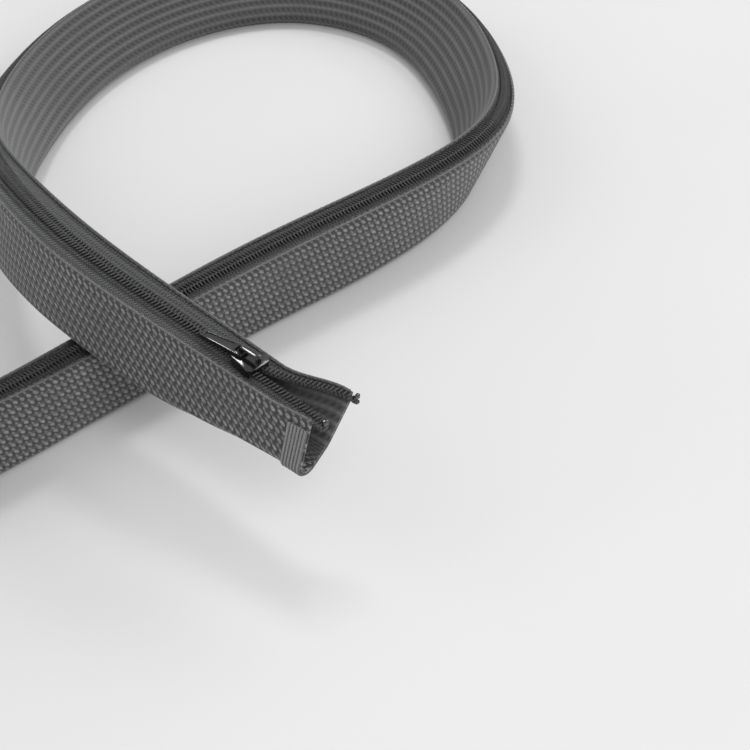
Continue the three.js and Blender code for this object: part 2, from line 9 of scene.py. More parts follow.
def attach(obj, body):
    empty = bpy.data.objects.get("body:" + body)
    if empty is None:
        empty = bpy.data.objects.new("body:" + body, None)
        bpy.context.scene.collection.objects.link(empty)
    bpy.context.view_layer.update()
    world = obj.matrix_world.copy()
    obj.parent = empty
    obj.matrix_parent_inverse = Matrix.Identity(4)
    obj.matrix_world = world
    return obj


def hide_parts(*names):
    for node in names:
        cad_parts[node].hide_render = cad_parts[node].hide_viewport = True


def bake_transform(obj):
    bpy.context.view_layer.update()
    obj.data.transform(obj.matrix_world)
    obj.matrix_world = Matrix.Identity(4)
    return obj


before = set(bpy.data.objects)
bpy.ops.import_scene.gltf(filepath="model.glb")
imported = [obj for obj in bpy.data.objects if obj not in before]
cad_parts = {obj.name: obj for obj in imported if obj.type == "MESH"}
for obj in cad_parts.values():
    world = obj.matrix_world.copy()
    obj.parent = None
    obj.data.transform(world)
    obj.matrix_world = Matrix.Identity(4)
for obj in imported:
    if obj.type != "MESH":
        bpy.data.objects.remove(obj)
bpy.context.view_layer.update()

MM = 0.001
rng = np.random.default_rng(7)

# The sleeve's own sizes, in millimetres
SLEEVE_DEPTH = 34.0
WALL = 0.9
FOLD_RADIUS = 1.6
BOTTOM_RADIUS = 4.0
GAP = 0.3
NARROWEST = 10.0
TEETH_TOP = 1.0
# Room over the rear strand where the front strand crosses it
CROSSING_GAP = 4.5
CLIMB = SLEEVE_DEPTH + TEETH_TOP + CROSSING_GAP
FLAT_ROUND = 2 * (SLEEVE_DEPTH - FOLD_RADIUS) + NARROWEST
# Rise of the sleeve's rear end over its last stretch
HEM_STAND = 1.35
END_REST_LENGTH = 60.0
SLEEVE_LENGTH = 1000.0
MOUTH_LENGTH = 90.0
FLARE_LENGTH = 28.0
PINCH_LENGTH = 20.0
OUTER_BOTTOM_RISE = 11.0
OUTER_BOTTOM_BULGE = 1.0
OUTER_TOP_PINCH = 2.0
INNER_BOTTOM_RISE = 16.5
INNER_BOTTOM_TUCK = 4.5
INNER_TOP_FLARE = 5.5
INNER_TOP_LIFT = 3.0
HEM_WIDTH = 8.5
# How far the grooves between the ribs and the band's back lie out from the wall's face
HEM_GROOVE_FACE = 0.87
HEM_BACK_FACE = 0.45
HEM_RIB_HEIGHT = 0.35
HEM_RIBS = 6
HEM_SETDOWN = 2.2
TAPE_TOP = -1.2
TAPE_THICKNESS = 0.5
TAPE_EDGE = 0.35
TAPE_DIP = 0.15
TAPE_WAVE = 0.05
TAPE_WAVE_REACH = 9.0
# The tape's end is folded back on itself over this length, which thickens it
TAPE_FOLD_LENGTH = 2.2
TAPE_FOLD_THICKNESS = 0.45
OUTER_TAIL = 4.0
INNER_TAIL = 4.5
REAR_TAIL = 3.0
OUTER_OPENING = 1.5
INNER_OPENING = 9.75
TOOTH_PITCH = 1.6
TEETH_FRONT = -2.5
TEETH_REAR_MARGIN = 4.0
TEETH_EDGE = 2.95
SLIDER_AT = 35.5
SLIDER_LENGTH = 11.0
SLIDER_SPREAD = 1.3
# Soft edges of the metal pieces
METAL_EDGE = 0.22
PULLER_EDGE = 0.26
# Distances ahead of the slider and behind it, at which follow_slider works out frames that it does not use
STRETCH_AHEAD = 40.0
STRETCH_BEHIND = 68.0

# Weave sizes, in millimetres: rows of plaited floats along the sleeve
ROW_PITCH = 3.8
FLOAT_PITCH = 3.1
# Where the weave's place goes over from the inner side to the outer side, across the bottom
BOTTOM_START = 30.0
BOTTOM_END = 44.0
# Slope, half length and half width of a float, and of the lower float between two rows
MAIN_FLOAT = (math.radians(36), 1.6, 0.85)
SECOND_FLOAT = (math.radians(50), 1.3, 0.6)
SECOND_FLOAT_HEIGHT = 0.42
# Height of the floats on the loop's inner side, as a share of those on the outer side
INNER_SIDE_FLOATS = 0.16
# Height of the rows over the wall's face
ROW_HEIGHT = 0.32
# Slow waves of the slack wall: height, reach along it and reach round it, and the limits of their sum
SLACK_WAVES = ((0.30, 17.0, 11.0), (0.22, 41.0, -9.0), (0.10, 7.3, 5.0))
SLACK_LOW = -0.5
SLACK_HIGH = 0.35

# The route over the table: x, y, share of the climb, lean in degrees, width over the
# narrowest section
LAY = np.array([
    [156, -126.5, 0.61, 0, 7.5],
    [93, -126.5, 0.805, 0, 10.5],
    [30, -126.5, 1, 0, 13],
    [-28.5, -106, 0.88, -2, 9],
    [-75, -71, 0.34, 16, 4],
    [-117, -25, 0.02, 36, 0],
    [-148, 33, 0, 45, 0],
    [-155, 101, 0, 44, 0],
    [-127, 160, 0, 45, 0],
    [-62, 175, 0, 49, 0],
    [-3, 141, 0, 43, 0],
    [46, 96, 0, 25, 1],
    [51, 30, 0, 6, 4.5],
    [42, -38, 0, 6, 6],
    [40, -114, 0, 7, 4],
    [38, -209, 0, 3, 2],
], float)
# Where the route's own origin lies in the frame
ROUTE_ORIGIN = np.array([1.351, 15.458, 0.212])

# Camera: place, the direction from the part towards it, and the lens
CAMERA_AT = np.array([715.97, -712.79, 646.02])
CAMERA_BACK = Vector((0.5478, -0.6038, 0.5791)).normalized()
CAMERA_TURN = math.radians(42.22)
FOCAL_PIXELS = 2948.46
FRAME_PIXELS = 750
CENTRE_OFFSET_PIXELS = (5.83, 7.47)
SENSOR = 36.0

# Studio: half the floor's side in metres, and each light's place and size in metres and its watts
FLOOR_HALF = 40.0
WORLD_STRENGTH = 0.55
LIGHTS_AIM_AT = (0.03, -0.02, 0.03)
LIGHTS = {
    "key": ((1.1, -0.55, 0.9), (0.9, 0.9), 14.0),
    "fill": ((-0.9, -0.9, 0.7), (1.2, 1.2), 5.0),
    "back": ((0.1, 1.2, 0.9), (1.4, 0.6), 9.0),
    "gleam": ((-0.35, 0.4, 1.2), (0.3, 0.3), 5.0),
}


def lay_at(u):
    """Rows of the lay on a uniform cubic B-spline at the parameters u."""
    rows = np.vstack([2 * LAY[0] - LAY[1], LAY, 2 * LAY[-1] - LAY[-2]])
    i = np.clip(np.floor(u).astype(int), 0, len(LAY) - 2)
    t = (u - i)[:, None]
    weights = ((1 - t) ** 3, 3 * t**3 - 6 * t**2 + 4, -3 * t**3 + 3 * t**2 + 3 * t + 1, t**3)
    return sum(w * rows[i + k] for k, w in enumerate(weights)) / 6


def centre_at(u):
    """Centre of the section, which rests on its lower corner where it leans."""
    x, y, climb, lean, extra = lay_at(u).T
    lean = np.radians(lean)
    rise = (SLEEVE_DEPTH / 2 - BOTTOM_RADIUS) * np.cos(lean)
    rise += ((NARROWEST + extra) / 2 - BOTTOM_RADIUS) * np.sin(np.abs(lean))
    return np.column_stack([x, y, climb * CLIMB + rise + BOTTOM_RADIUS])


def ease(t):
    t = np.clip(t, 0, 1)
    return t * t * (3 - 2 * t)


ROUTE_U = np.linspace(0, len(LAY) - 0.95, 3001)
ROUTE_S = np.concatenate([[0], np.cumsum(np.linalg.norm(np.diff(centre_at(ROUTE_U), axis=0), axis=1))])


def normal_between(a, b, narrowing):
    """Angles, from 0 to a full turn and on, of the outward normals of the lines that run from the circles a
    to the circles b, whose radius is smaller by narrowing."""
    step = b - a
    heading = np.arctan2(step[:, 1], step[:, 0])
    angle = heading - np.arccos(narrowing / np.hypot(step[:, 0], step[:, 1]))
    return np.mod(angle - math.pi / 2, 2 * math.pi) + math.pi / 2


class Frames:
    """Section frames at the distances s: origin on the top face, and along, across and up."""

    def __init__(self, s):
        s = np.atleast_1d(np.asarray(s, float))
        inside = np.clip(s, 0, SLEEVE_LENGTH)
        u = np.interp(inside, ROUTE_S, ROUTE_U)
        step = 0.01
        along = centre_at(u + step) - centre_at(u - step)
        along /= np.linalg.norm(along, axis=1)[:, None]
        upright = np.array([0, 0, 1.0]) - along * along[:, 2:3]
        upright /= np.linalg.norm(upright, axis=1)[:, None]
        outward = np.cross(upright, along)
        rows = lay_at(u)
        lean = np.radians(rows[:, 3])[:, None]
        self.along = along
        self.up = np.cos(lean) * upright + np.sin(lean) * outward
        self.across = np.cos(lean) * outward - np.sin(lean) * upright
        self.origin = centre_at(u) + self.up * SLEEVE_DEPTH / 2 + along * (s - inside)[:, None]
        rest = HEM_STAND * ease((inside - (SLEEVE_LENGTH - END_REST_LENGTH)) / (END_REST_LENGTH - HEM_WIDTH))
        self.origin[:, 2] += rest
        self.origin += ROUTE_ORIGIN
        half = (NARROWEST + rows[:, 4]) / 2
        mouth = 1 - ease(inside / MOUTH_LENGTH)
        flare = 1 - ease(inside / FLARE_LENGTH)
        pinch = 1 - ease(inside / PINCH_LENGTH)
        self.lift = INNER_TOP_LIFT * flare
        bottom = BOTTOM_RADIUS - SLEEVE_DEPTH
        inner_low = BOTTOM_RADIUS - half + INNER_BOTTOM_TUCK * mouth
        outer_low = half + OUTER_BOTTOM_BULGE * mouth - BOTTOM_RADIUS
        # Centres of the circles the section bends round: the inner fold, the inner and outer bottom
        # corners and the outer fold
        self.circles = np.stack([
            np.column_stack([FOLD_RADIUS - half - INNER_TOP_FLARE * flare, self.lift - FOLD_RADIUS]),
            np.column_stack([inner_low, bottom + INNER_BOTTOM_RISE * mouth]),
            np.column_stack([outer_low, bottom + OUTER_BOTTOM_RISE * mouth]),
            np.column_stack([half - OUTER_TOP_PINCH * pinch - FOLD_RADIUS, np.full(len(s), -FOLD_RADIUS)]),
        ], axis=1)
        self.normals = np.column_stack([
            normal_between(self.circles[:, 0], self.circles[:, 1], FOLD_RADIUS - BOTTOM_RADIUS),
            normal_between(self.circles[:, 1], self.circles[:, 2], 0),
            normal_between(self.circles[:, 2], self.circles[:, 3], BOTTOM_RADIUS - FOLD_RADIUS),
        ])

    def place(self, i, outline):
        """Points of an outline, given as n across and d up, on frame i in millimetres."""
        return self.origin[i] + outline[:, :1] * self.across[i] + outline[:, 1:] * self.up[i]


def opening(s, at_mouth):
    """How far one half of the zip has moved aside at s."""
    front = SLIDER_AT - SLIDER_LENGTH / 2
    rear = SLIDER_AT + SLIDER_LENGTH / 2
    return np.interp(s, [0, front, rear], [at_mouth, SLIDER_SPREAD, 0]) + np.where(
        s < 0, -s * (at_mouth - SLIDER_SPREAD) / front, 0)


def unit(angle):
    """Directions at the angles, in the plane of a section."""
    return np.stack([np.cos(angle), np.sin(angle)], axis=-1)


def body_line(f, i, inset, count, set_down=0.0):
    """Line inset behind the wall's face on frame i, down the inner side, round the bottom and up the outer
    side, as count + 1 points with the normals that point out of it, the distance along it and the place in
    the weave, which runs on evenly along both sides."""
    circles, (first, second, third) = f.circles[i], f.normals[i]
    fold, corner = FOLD_RADIUS - inset, BOTTOM_RADIUS - inset
    ends = np.array([
        circles[0] + fold * unit(first), circles[1] + corner * unit(first),
        circles[1] + corner * unit(second), circles[2] + corner * unit(second),
        circles[2] + corner * unit(third), circles[3] + fold * unit(third)])
    lengths = np.linalg.norm(np.diff(ends, axis=0), axis=1)
    lengths[1] = corner * (second - first)
    lengths[3] = corner * (third - second)
    marks = np.concatenate([[0], np.cumsum(lengths)])
    v = np.linspace(set_down, marks[-1] - set_down, count + 1)
    angles = np.interp(v, marks, [first, first, second, second, third, third])
    normals = unit(angles)
    points = np.column_stack([np.interp(v, marks, ends[:, 0]), np.interp(v, marks, ends[:, 1])])
    for k in (1, 2):
        bend = (v > marks[2 * k - 1]) & (v < marks[2 * k])
        points[bend] = circles[k] + corner * normals[bend]
    weave = np.interp(v, marks, [*marks[:3], *(marks[3:] - marks[5] + FLAT_ROUND)])
    return points, normals, v, weave


def arc(centre, radius, start, end, parts):
    return centre + radius * unit(np.linspace(start, end, parts + 1))


def make_object(name, points, faces, body, material, uv=None):
    """Mesh object of the points in metres, riding on a body, with the weave's own coordinates as uv."""
    mesh = bpy.data.meshes.new(name)
    mesh.from_pydata([tuple(p) for p in points], [], faces)
    mesh.update()
    if uv is not None:
        layer = mesh.uv_layers.new(name="weave")
        index = np.empty(len(mesh.loops), int)
        mesh.loops.foreach_get("vertex_index", index)
        layer.data.foreach_set("uv", np.asarray(uv, np.float32)[index].ravel())
    mesh.polygons.foreach_set("use_smooth", [True] * len(mesh.polygons))
    mesh.materials.append(material)
    piece = bpy.data.objects.new(name, mesh)
    bpy.context.scene.collection.objects.link(piece)
    if body:
        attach(piece, body)
    return piece


def ring_faces(rings, count):
    """Quads between rings of count points each, with end caps as polygons."""
    faces = []
    for i in range(rings - 1):
        for j in range(count):
            a = i * count + j
            b = i * count + (j + 1) % count
            faces.append((a, b, b + count, a + count))
    faces.append(tuple(range(count - 1, -1, -1)))
    last = (rings - 1) * count
    faces.append(tuple(range(last, last + count)))
    return faces


class Nodes:
    """Small helper that writes shader maths as calls."""

    def __init__(self, name):
        self.material = bpy.data.materials.new(name)
        self.material.use_nodes = True
        self.tree = self.material.node_tree
        self.shader = self.tree.nodes["Principled BSDF"]

    def link(self, value, socket):
        if isinstance(value, (int, float, tuple)):
            socket.default_value = value
        else:
            self.tree.links.new(value, socket)

    def math(self, operation, *values):
        node = self.tree.nodes.new("ShaderNodeMath")
        node.operation = operation
        for k, value in enumerate(values):
            self.link(value, node.inputs[k])
        return node.outputs[0]

    def wave(self, angle):
        """Sine of the angle, brought to 0 to 1."""
        return self.math("MULTIPLY", self.math("ADD", self.math("SINE", angle), 1.0), 0.5)

    def smooth(self, value, low, high):
        """0 below low and 1 above high, with a soft step."""
        node = self.tree.nodes.new("ShaderNodeMapRange")
        node.interpolation_type = "SMOOTHSTEP"
        self.link(value, node.inputs["Value"])
        node.inputs["From Min"].default_value = low
        node.inputs["From Max"].default_value = high
        return node.outputs["Result"]

    def uv(self):
        node = self.tree.nodes.new("ShaderNodeUVMap")
        node.uv_map = "weave"
        split = self.tree.nodes.new("ShaderNodeSeparateXYZ")
        self.tree.links.new(node.outputs[0], split.inputs[0])
        return split.outputs[0], split.outputs[1]

    def place(self):
        """The point on the piece itself, in metres."""
        return self.tree.nodes.new("ShaderNodeTexCoord").outputs["Object"]

    def noise(self, vector, scale, detail=2.0, roughness=0.5):
        node = self.tree.nodes.new("ShaderNodeTexNoise")
        node.inputs["Scale"].default_value = scale
        node.inputs["Detail"].default_value = detail
        node.inputs["Roughness"].default_value = roughness
        self.link(vector, node.inputs["Vector"])
        return node.outputs["Fac"]

    def vector(self, x, y):
        node = self.tree.nodes.new("ShaderNodeCombineXYZ")
        for k, value in enumerate((x, y)):
            self.link(value, node.inputs[k])
        return node.outputs[0]

    def mix(self, factor, a, b):
        node = self.tree.nodes.new("ShaderNodeMix")
        node.data_type = "RGBA"
        self.link(factor, node.inputs["Factor"])
        for name, value in (("A", a), ("B", b)):
            self.link((*value, 1) if isinstance(value, tuple) else value, node.inputs[name])
        return node.outputs["Result"]

    def colour(self, value):
        self.tree.links.new(value, self.shader.inputs["Base Color"])

    def roughness(self, value):
        self.link(value, self.shader.inputs["Roughness"])

    def bump(self, height, distance):
        node = self.tree.nodes.new("ShaderNodeBump")
        node.inputs["Strength"].default_value = 1.0
        node.inputs["Distance"].default_value = distance
        self.link(height, node.inputs["Height"])
        self.tree.links.new(node.outputs[0], self.shader.inputs["Normal"])

    def sheen(self, weight, roughness, tint):
        self.shader.inputs["Sheen Weight"].default_value = weight
        self.shader.inputs["Sheen Roughness"].default_value = roughness
        self.shader.inputs["Sheen Tint"].default_value = (*tint, 1)


def grey(value, warm=0.0):
    return (value * (1 + warm), value, value * (1 - warm))


def float_mask(k, s, v, slope, long, wide):
    """Oval floats of the plaited rows: every second row is half a pitch on, and each float is turned by
    slope, with long and wide as its half sizes in millimetres."""
    place = k.math("DIVIDE", v, ROW_PITCH)
    line = k.math("FLOOR", place)
    odd = k.math("PINGPONG", line, 1.0)
    b = k.math("MULTIPLY", k.math("SUBTRACT", k.math("FRACT", place), 0.5), ROW_PITCH)
    shifted = k.math("ADD", k.math("DIVIDE", s, FLOAT_PITCH), k.math("MULTIPLY", odd, 0.5))
    a = k.math("MULTIPLY", k.math("SUBTRACT", k.math("FRACT", shifted), 0.5), FLOAT_PITCH)
    cos, sin = math.cos(slope), math.sin(slope)
    x = k.math("ADD", k.math("MULTIPLY", a, cos), k.math("MULTIPLY", b, sin))
    y = k.math("SUBTRACT", k.math("MULTIPLY", b, cos), k.math("MULTIPLY", a, sin))
    length = k.math("POWER", k.math("DIVIDE", x, long), 2.0)
    width = k.math("POWER", k.math("DIVIDE", y, wide), 2.0)
    return k.math("MAXIMUM", k.math("SUBTRACT", 1.0, k.math("ADD", length, width)), 0.0)


def braid_material():
    """Charcoal braid: plaited floats in rows and fine filaments, with painted light on the floats, painted
    glints on their crowns and painted shade in the dark gaps between them and in the grooves between the
    rows.
    """
    # dark is the painted shade between the floats, light the painted light on them, glint the painted
    # highlight on their crowns and dust the braid's own dusty patches
    dark, light, glint, dust = grey(0.014), grey(0.15, 0.01), grey(0.42, 0.01), grey(0.035)
    k = Nodes("braid")
    s, v = k.uv()
    where = k.vector(s, v)
    drift = k.math("MULTIPLY", k.math("SUBTRACT", k.noise(where, 0.35, 2.0), 0.5), 0.9)
    s_drifted = k.math("ADD", s, drift)
    v_drifted = k.math("ADD", v, k.math("MULTIPLY", drift, 0.35))
    main = float_mask(k, s_drifted, v_drifted, *MAIN_FLOAT)
    second = float_mask(k, s_drifted, k.math("ADD", v_drifted, ROW_PITCH / 2), *SECOND_FLOAT)
    filament = k.wave(k.math("MULTIPLY", k.math("ADD", v, k.math("MULTIPLY", s, 0.75)), 9.0))
    speck = k.noise(where, 1.7, 3.0, 0.6)
    patch = k.noise(where, 0.035, 3.0, 0.55)
    outer = k.smooth(v, BOTTOM_START, BOTTOM_END)
    outward = k.math("ADD", INNER_SIDE_FLOATS, k.math("MULTIPLY", outer, 1 - INNER_SIDE_FLOATS))
    # Painted shade in the grooves between the rows the wall's geometry has, stronger on the loop's inner
    # side
    ridge = k.math("COSINE", k.math("MULTIPLY", v, 2 * math.pi / ROW_PITCH))
    ridge_weight = k.math("SUBTRACT", 0.65, k.math("MULTIPLY", outward, 0.5))
    ridge = k.math("MULTIPLY", k.math("ADD", ridge, 1.0), ridge_weight)
    floats = k.math("MAXIMUM", main, k.math("MULTIPLY", second, SECOND_FLOAT_HEIGHT))
    height = k.math("MULTIPLY", floats, outward)
    height = k.math("ADD", height, k.math("MULTIPLY", filament, 0.16))
    # Painted light and shade of the relief: lighter where the floats and the rows stand high, darker in the
    # gaps and grooves
    painted_relief_shading = k.math("ADD", height, k.math("MULTIPLY", ridge, 0.25))
    base = k.mix(k.smooth(painted_relief_shading, 0.05, 0.7), dark, light)
    # Painted glints: a bright colour on the floats' crowns, in slanted streaks and scattered spots, for the
    # light the yarns catch
    strand = k.math("SINE", k.math("MULTIPLY", k.math("SUBTRACT", v, k.math("MULTIPLY", s, 0.73)), 11.0))
    strand = k.math("ADD", 0.6, k.math("MULTIPLY", strand, 0.4))
    bundle = k.math("MULTIPLY", k.smooth(k.noise(where, 0.3, 1.0), 0.3, 0.65), strand)
    painted_glint_mask = k.math("MULTIPLY", k.smooth(speck, 0.3, 0.7), k.smooth(height, 0.3, 0.9))
    painted_glint_mask = k.math("MULTIPLY", painted_glint_mask, bundle)
    lit = k.mix(k.math("MULTIPLY", painted_glint_mask, 0.95), base, glint)
    aged = k.mix(k.math("MULTIPLY", k.smooth(patch, 0.35, 0.75), 0.3), lit, dust)
    k.colour(aged)
    k.roughness(k.math("SUBTRACT", 0.66, k.math("MULTIPLY", k.smooth(height, 0.2, 1.0), 0.2)))
    k.bump(height, 0.0006)
    k.sheen(0.25, 0.4, (0.8, 0.8, 0.82))
    return k.material


def tape_material():
    """Black zip tape with a fine herringbone."""
    k = Nodes("tape")
    s, v = k.uv()
    where = k.vector(s, v)
    slant = k.math("ADD", k.math("MULTIPLY", v, 0.65), k.math("PINGPONG", v, 1.5))
    lines = k.wave(k.math("MULTIPLY", k.math("ADD", s, slant), 4.4))
    thread = k.wave(k.math("MULTIPLY", v, 16.0))
    height = k.math("ADD", k.math("MULTIPLY", lines, 0.8), k.math("MULTIPLY", thread, 0.25))
    fuzz = k.noise(where, 1.3, 3.0, 0.6)
    base = k.mix(k.smooth(height, 0.1, 0.95), grey(0.004), grey(0.04))
    k.colour(k.mix(k.math("MULTIPLY", k.smooth(fuzz, 0.45, 0.8), 0.5), base, grey(0.035)))
    k.roughness(0.72)
    k.bump(height, 0.0003)
    k.sheen(0.3, 0.35, (0.75, 0.78, 0.8))
    return k.material


def teeth_material():
    """Black nylon coil, satin, with a little dust between the turns."""
    k = Nodes("teeth")
    where = k.place()
    dust = k.noise(where, 900.0, 3.0, 0.6)
    k.colour(k.mix(k.smooth(dust, 0.35, 0.8), grey(0.010), grey(0.032)))
    k.roughness(k.math("ADD", 0.3, k.math("MULTIPLY", dust, 0.25)))
    k.bump(k.noise(where, 2600.0, 2.0), 0.00006)
    return k.material


def hem_material():
    """Overlock stitches: close twisted threads that run round the sleeve's end, with painted shade in the
    grooves between the ribs.
    """
    k = Nodes("hem")
    s, v = k.uv()
    where = k.vector(s, v)
    stitch = k.wave(k.math("MULTIPLY", k.math("ADD", v, k.math("MULTIPLY", s, 0.5)), 9.0))
    rib = k.math("DIVIDE", s, HEM_WIDTH / HEM_RIBS)
    groove = k.math("ABSOLUTE", k.math("SUBTRACT", k.math("FRACT", rib), 0.5))
    crown = k.smooth(groove, 0.5, 0.12)
    height = k.math("ADD", k.math("MULTIPLY", stitch, 0.35), crown)
    speck = k.noise(where, 2.2, 3.0, 0.6)
    # Painted light and shade of the ribs: lighter on their crowns, darker in the grooves between them, over
    # the stitches' own lines
    base = k.mix(k.smooth(height, 0.15, 1.25), grey(0.025), grey(0.165, 0.01))
    k.colour(k.mix(k.math("MULTIPLY", k.smooth(speck, 0.4, 0.75), 0.6), base, grey(0.3)))
    k.roughness(0.68)
    k.bump(height, 0.00035)
    k.sheen(0.25, 0.4, (0.8, 0.8, 0.82))
    return k.material


def thread_material(name, dark, light):
    """Sewing thread with its twist."""
    k = Nodes(name)
    where = k.place()
    fibre = k.noise(where, 3200.0, 2.0, 0.6)
    k.colour(k.mix(k.smooth(fibre, 0.3, 0.75), grey(dark), grey(light)))
    k.roughness(0.6)
    k.bump(fibre, 0.0001)
    k.sheen(0.2, 0.4, (0.8, 0.8, 0.82))
    return k.material


def enamel_material():
    """Gloss black enamel on cast metal, thin at the rubbed edges."""
    k = Nodes("enamel")
    where = k.place()
    orange = k.noise(where, 700.0, 2.0)
    scuff = k.noise(where, 420.0, 5.0, 0.7)
    worn = k.smooth(scuff, 0.6, 0.78)
    k.colour(k.mix(k.math("MULTIPLY", worn, 0.5), grey(0.009), grey(0.06)))
    k.roughness(k.math("ADD", 0.14, k.math("MULTIPLY", worn, 0.3)))
    k.shader.inputs["Metallic"].default_value = 0.25
    k.shader.inputs["Coat Weight"].default_value = 0.6
    k.shader.inputs["Coat Roughness"].default_value = 0.08
    k.bump(orange, 0.00004)
    return k.material


def floor_material():
    """Plain pale table top."""
    k = Nodes("floor")
    where = k.place()
    k.colour(k.mix(k.noise(where, 6.0, 2.0), grey(0.55), grey(0.58)))
    k.roughness(0.9)
    return k.material


BRAID = braid_material()
TAPE = tape_material()
TEETH = teeth_material()
HEM = hem_material()
THREAD = thread_material("thread", 0.035, 0.15)
COIL_THREAD = thread_material("coil thread", 0.012, 0.05)
ENAMEL = enamel_material()


def woven_wall():
    """The tube's skin with its lips turned in beside the zip: real rows along it and a slight slackness,
    and the weave itself from its own coordinates."""
    step = 2.0
    s = np.linspace(0, SLEEVE_LENGTH, int(SLEEVE_LENGTH / step) + 1)
    f = Frames(s)
    around, back_count = 144, 24
    fold_parts, lip_parts = 4, 3
    fold_weave, lip_weave, lip_gap = 2.4, 1.0, 2.0
    top = math.pi / 2
    points, uv = [], []
    # Six draws, of which the first three are the waves' phases
    slack_phase = rng.uniform(0, 2 * math.pi, 6)
    for i in range(len(s)):
        first, third = f.normals[i, 0], f.normals[i, 2] - 2 * math.pi
        face, normals, v, weave = body_line(f, i, 0.0, around)
        middle = v - v[-1] / 2
        rows = 0.5 + 0.5 * np.cos(2 * math.pi * weave / ROW_PITCH)
        edge = ease(np.minimum(v, v[-1] - v) / 4)
        slack = sum(height * np.sin(s[i] / along + middle / around_it + phase)
                    for (height, along, around_it), phase in zip(SLACK_WAVES, slack_phase))
        bottom = np.exp(-((middle / (SLEEVE_DEPTH * 0.55)) ** 2))
        away = edge * np.clip(slack, SLACK_LOW, SLACK_HIGH) * (1 - bottom) * ease((s[i] - HEM_WIDTH) / 12)
        lift = ROW_HEIGHT * rows * ease(np.minimum(v, v[-1] - v) / 2 + 0.4) + away
        face = face + normals * lift[:, None]
        left = arc(f.circles[i, 0], FOLD_RADIUS, top, first, fold_parts)[:-1]
        right = arc(f.circles[i, 3], FOLD_RADIUS, third, top, fold_parts)[1:]
        lip_in = arc(f.circles[i, 3], FOLD_RADIUS - WALL, top, third, lip_parts)[:-1]
        lip_out = arc(f.circles[i, 0], FOLD_RADIUS - WALL, first, top, lip_parts)[1:]
        back, back_normals, _, back_weave = body_line(f, i, WALL, back_count)
        back = back + back_normals * np.clip(away[:: around // back_count], -0.3, 0.3)[:, None]
        points.append(f.place(i, np.vstack([left, face, right, lip_in, back[::-1], lip_out])))
        turn = np.linspace(-fold_weave, 0, fold_parts + 1)[:-1]
        inner_turn = np.linspace(0, -lip_weave, lip_parts + 1)[:-1]
        across = np.concatenate([
            turn, weave, FLAT_ROUND - turn[::-1],
            FLAT_ROUND + lip_gap + inner_turn, back_weave[::-1], -lip_gap - inner_turn[::-1]])
        uv.append(np.column_stack([np.full(len(across), s[i]), across]))
    faces = ring_faces(len(s), len(uv[0]))
    piece = make_object(
        "woven_wall", np.vstack(points) * MM, faces, "sleeve", BRAID, uv=np.vstack(uv))
    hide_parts("braided_sleeve")


def fold_place(f, side):
    """Centre of the fold on one side, as n and d, at each frame."""
    return f.circles[:, 3] if side > 0 else f.circles[:, 0]


def follow_slider(piece, ahead):
    """The zip's halves part ahead of the slider and close behind it; this bakes the placement of one of
    their pieces into its mesh, and works out frames ahead of and behind the slider that it does not use."""
    marks = Frames([SLIDER_AT - STRETCH_AHEAD, SLIDER_AT, SLIDER_AT + STRETCH_BEHIND]).origin * MM
    if ahead:
        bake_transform(piece)
    else:
        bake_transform(piece)


def zip_tape(side, at_mouth, tail, label, ahead):
    """Woven tape beside the teeth, with its front end past the hem folded back on itself."""
    if ahead:
        fine_step = 0.75
        s = np.linspace(-tail, SLIDER_AT, int((SLIDER_AT + tail) / fine_step) + 1)
    else:
        step = 2.0
        s = np.linspace(SLIDER_AT, SLEEVE_LENGTH + REAR_TAIL, int((SLEEVE_LENGTH - SLIDER_AT) / step) + 1)
    f = Frames(s)
    near = TAPE_EDGE + opening(s, at_mouth)
    far = side * fold_place(f, side)[:, 0] + (FOLD_RADIUS - WALL) / 2 - GAP / 2
    parts = 8
    points, uv = [], []
    for i in range(len(s)):
        n = np.linspace(near[i], far[i], parts + 1)
        dip = -TAPE_DIP * np.sin(np.linspace(0, math.pi, parts + 1))
        rise = f.lift[i] if side < 0 else 0.0
        rise += TAPE_WAVE * math.sin(s[i] / TAPE_WAVE_REACH)
        thick = TAPE_THICKNESS + TAPE_FOLD_THICKNESS * (s[i] < TAPE_FOLD_LENGTH - tail)
        top = np.column_stack([side * n, TAPE_TOP + dip + rise])
        low = np.column_stack([side * n[::-1], TAPE_TOP - thick + dip[::-1] + rise])
        outline = np.vstack([top, low])
        v = np.concatenate([n, n[::-1]]) - near[i]
        if side > 0:
            outline = outline[::-1]
            v = v[::-1]
        points.append(f.place(i, outline))
        uv.append(np.column_stack([np.full(len(v), s[i]), v]))
    faces = ring_faces(len(s), len(uv[0]))
    name = f"woven_tape_{label}"
    piece = make_object(name, np.vstack(points) * MM, faces, None, TAPE, uv=np.vstack(uv))
    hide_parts(f"zip_tape_{label}")
    return piece


def tape_stitches(side, at_mouth, label, ahead):
    """Chevron of sewing thread that holds the coil on the tape, one slant beside each turn."""
    start, end = (-1.0, SLIDER_AT) if ahead else (SLIDER_AT, SLEEVE_LENGTH - TEETH_REAR_MARGIN)
    s = np.arange(start, end - 1.0, TOOTH_PITCH)
    f = Frames(s)
    offset = opening(s, at_mouth)
    ring = unit(np.radians(np.arange(0, 360, 90)))
    radius, flatness, reach, slant, beside, above = 0.2, 0.4, 1.3, 0.9, 0.75, 0.1
    # Share of the stitch's reach from its middle, and its size there
    profile = [(-0.5, 0.4), (-0.25, 1.0), (0.25, 1.0), (0.5, 0.4)]
    points, faces = [], []
    for i in range(len(s)):
        rise = f.lift[i] if side < 0 else 0.0
        start_index = len(points)
        for share, size in profile:
            n = side * (TEETH_EDGE + beside + offset[i] + share * reach)
            d = TAPE_TOP + above + rise
            along = f.along[i] * (slant * share + TOOTH_PITCH / 2)
            for across, height in ring * radius * size:
                level = f.origin[i] + along + f.up[i] * (d + height) + f.along[i] * across
                points.append(level + f.across[i] * (n + across * flatness))
        faces += [tuple(start_index + c for c in face) for face in ring_faces(len(profile), len(ring))]
    return make_object(f"coil_stitches_{label}", np.array(points) * MM, faces, None, COIL_THREAD)


